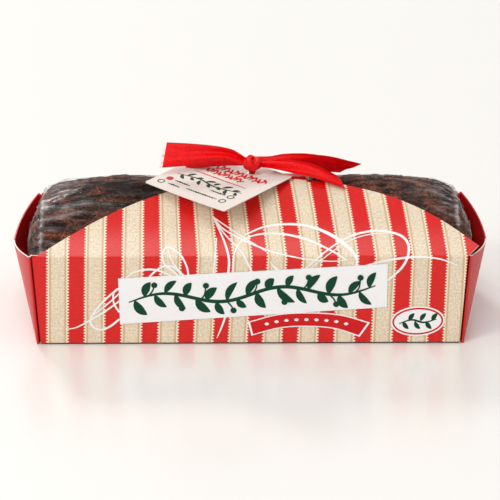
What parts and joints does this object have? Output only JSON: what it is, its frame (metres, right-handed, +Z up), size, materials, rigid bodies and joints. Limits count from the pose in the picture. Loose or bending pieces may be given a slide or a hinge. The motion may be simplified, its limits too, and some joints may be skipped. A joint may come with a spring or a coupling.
{
  "type": "fruit cake loaf pack",
  "caption": "Film-wrapped fruit cake loaf in an open folded card carton with striped walls and bowed lid flaps tied at the ridge by a ribbon with a card tag.",
  "frame": {"origin": "middle of the carton's underside", "axes": "+X along the loaf, +Z up, and -Y out of the printed front wall"},
  "size_m": [0.2344, 0.082, 0.087],
  "materials": {
    "carton_card": "printed and varnished card",
    "cake_in_film": "dark fruit cake under clear wrinkled film",
    "satin_ribbon": "red satin",
    "tag_card": "smooth white card"
  },
  "bodies": {
    "root": {"carton": "carton_card", "wrapped_cake": "cake_in_film", "ribbon": "satin_ribbon", "tag": "tag_card"}
  },
  "joints": []
}
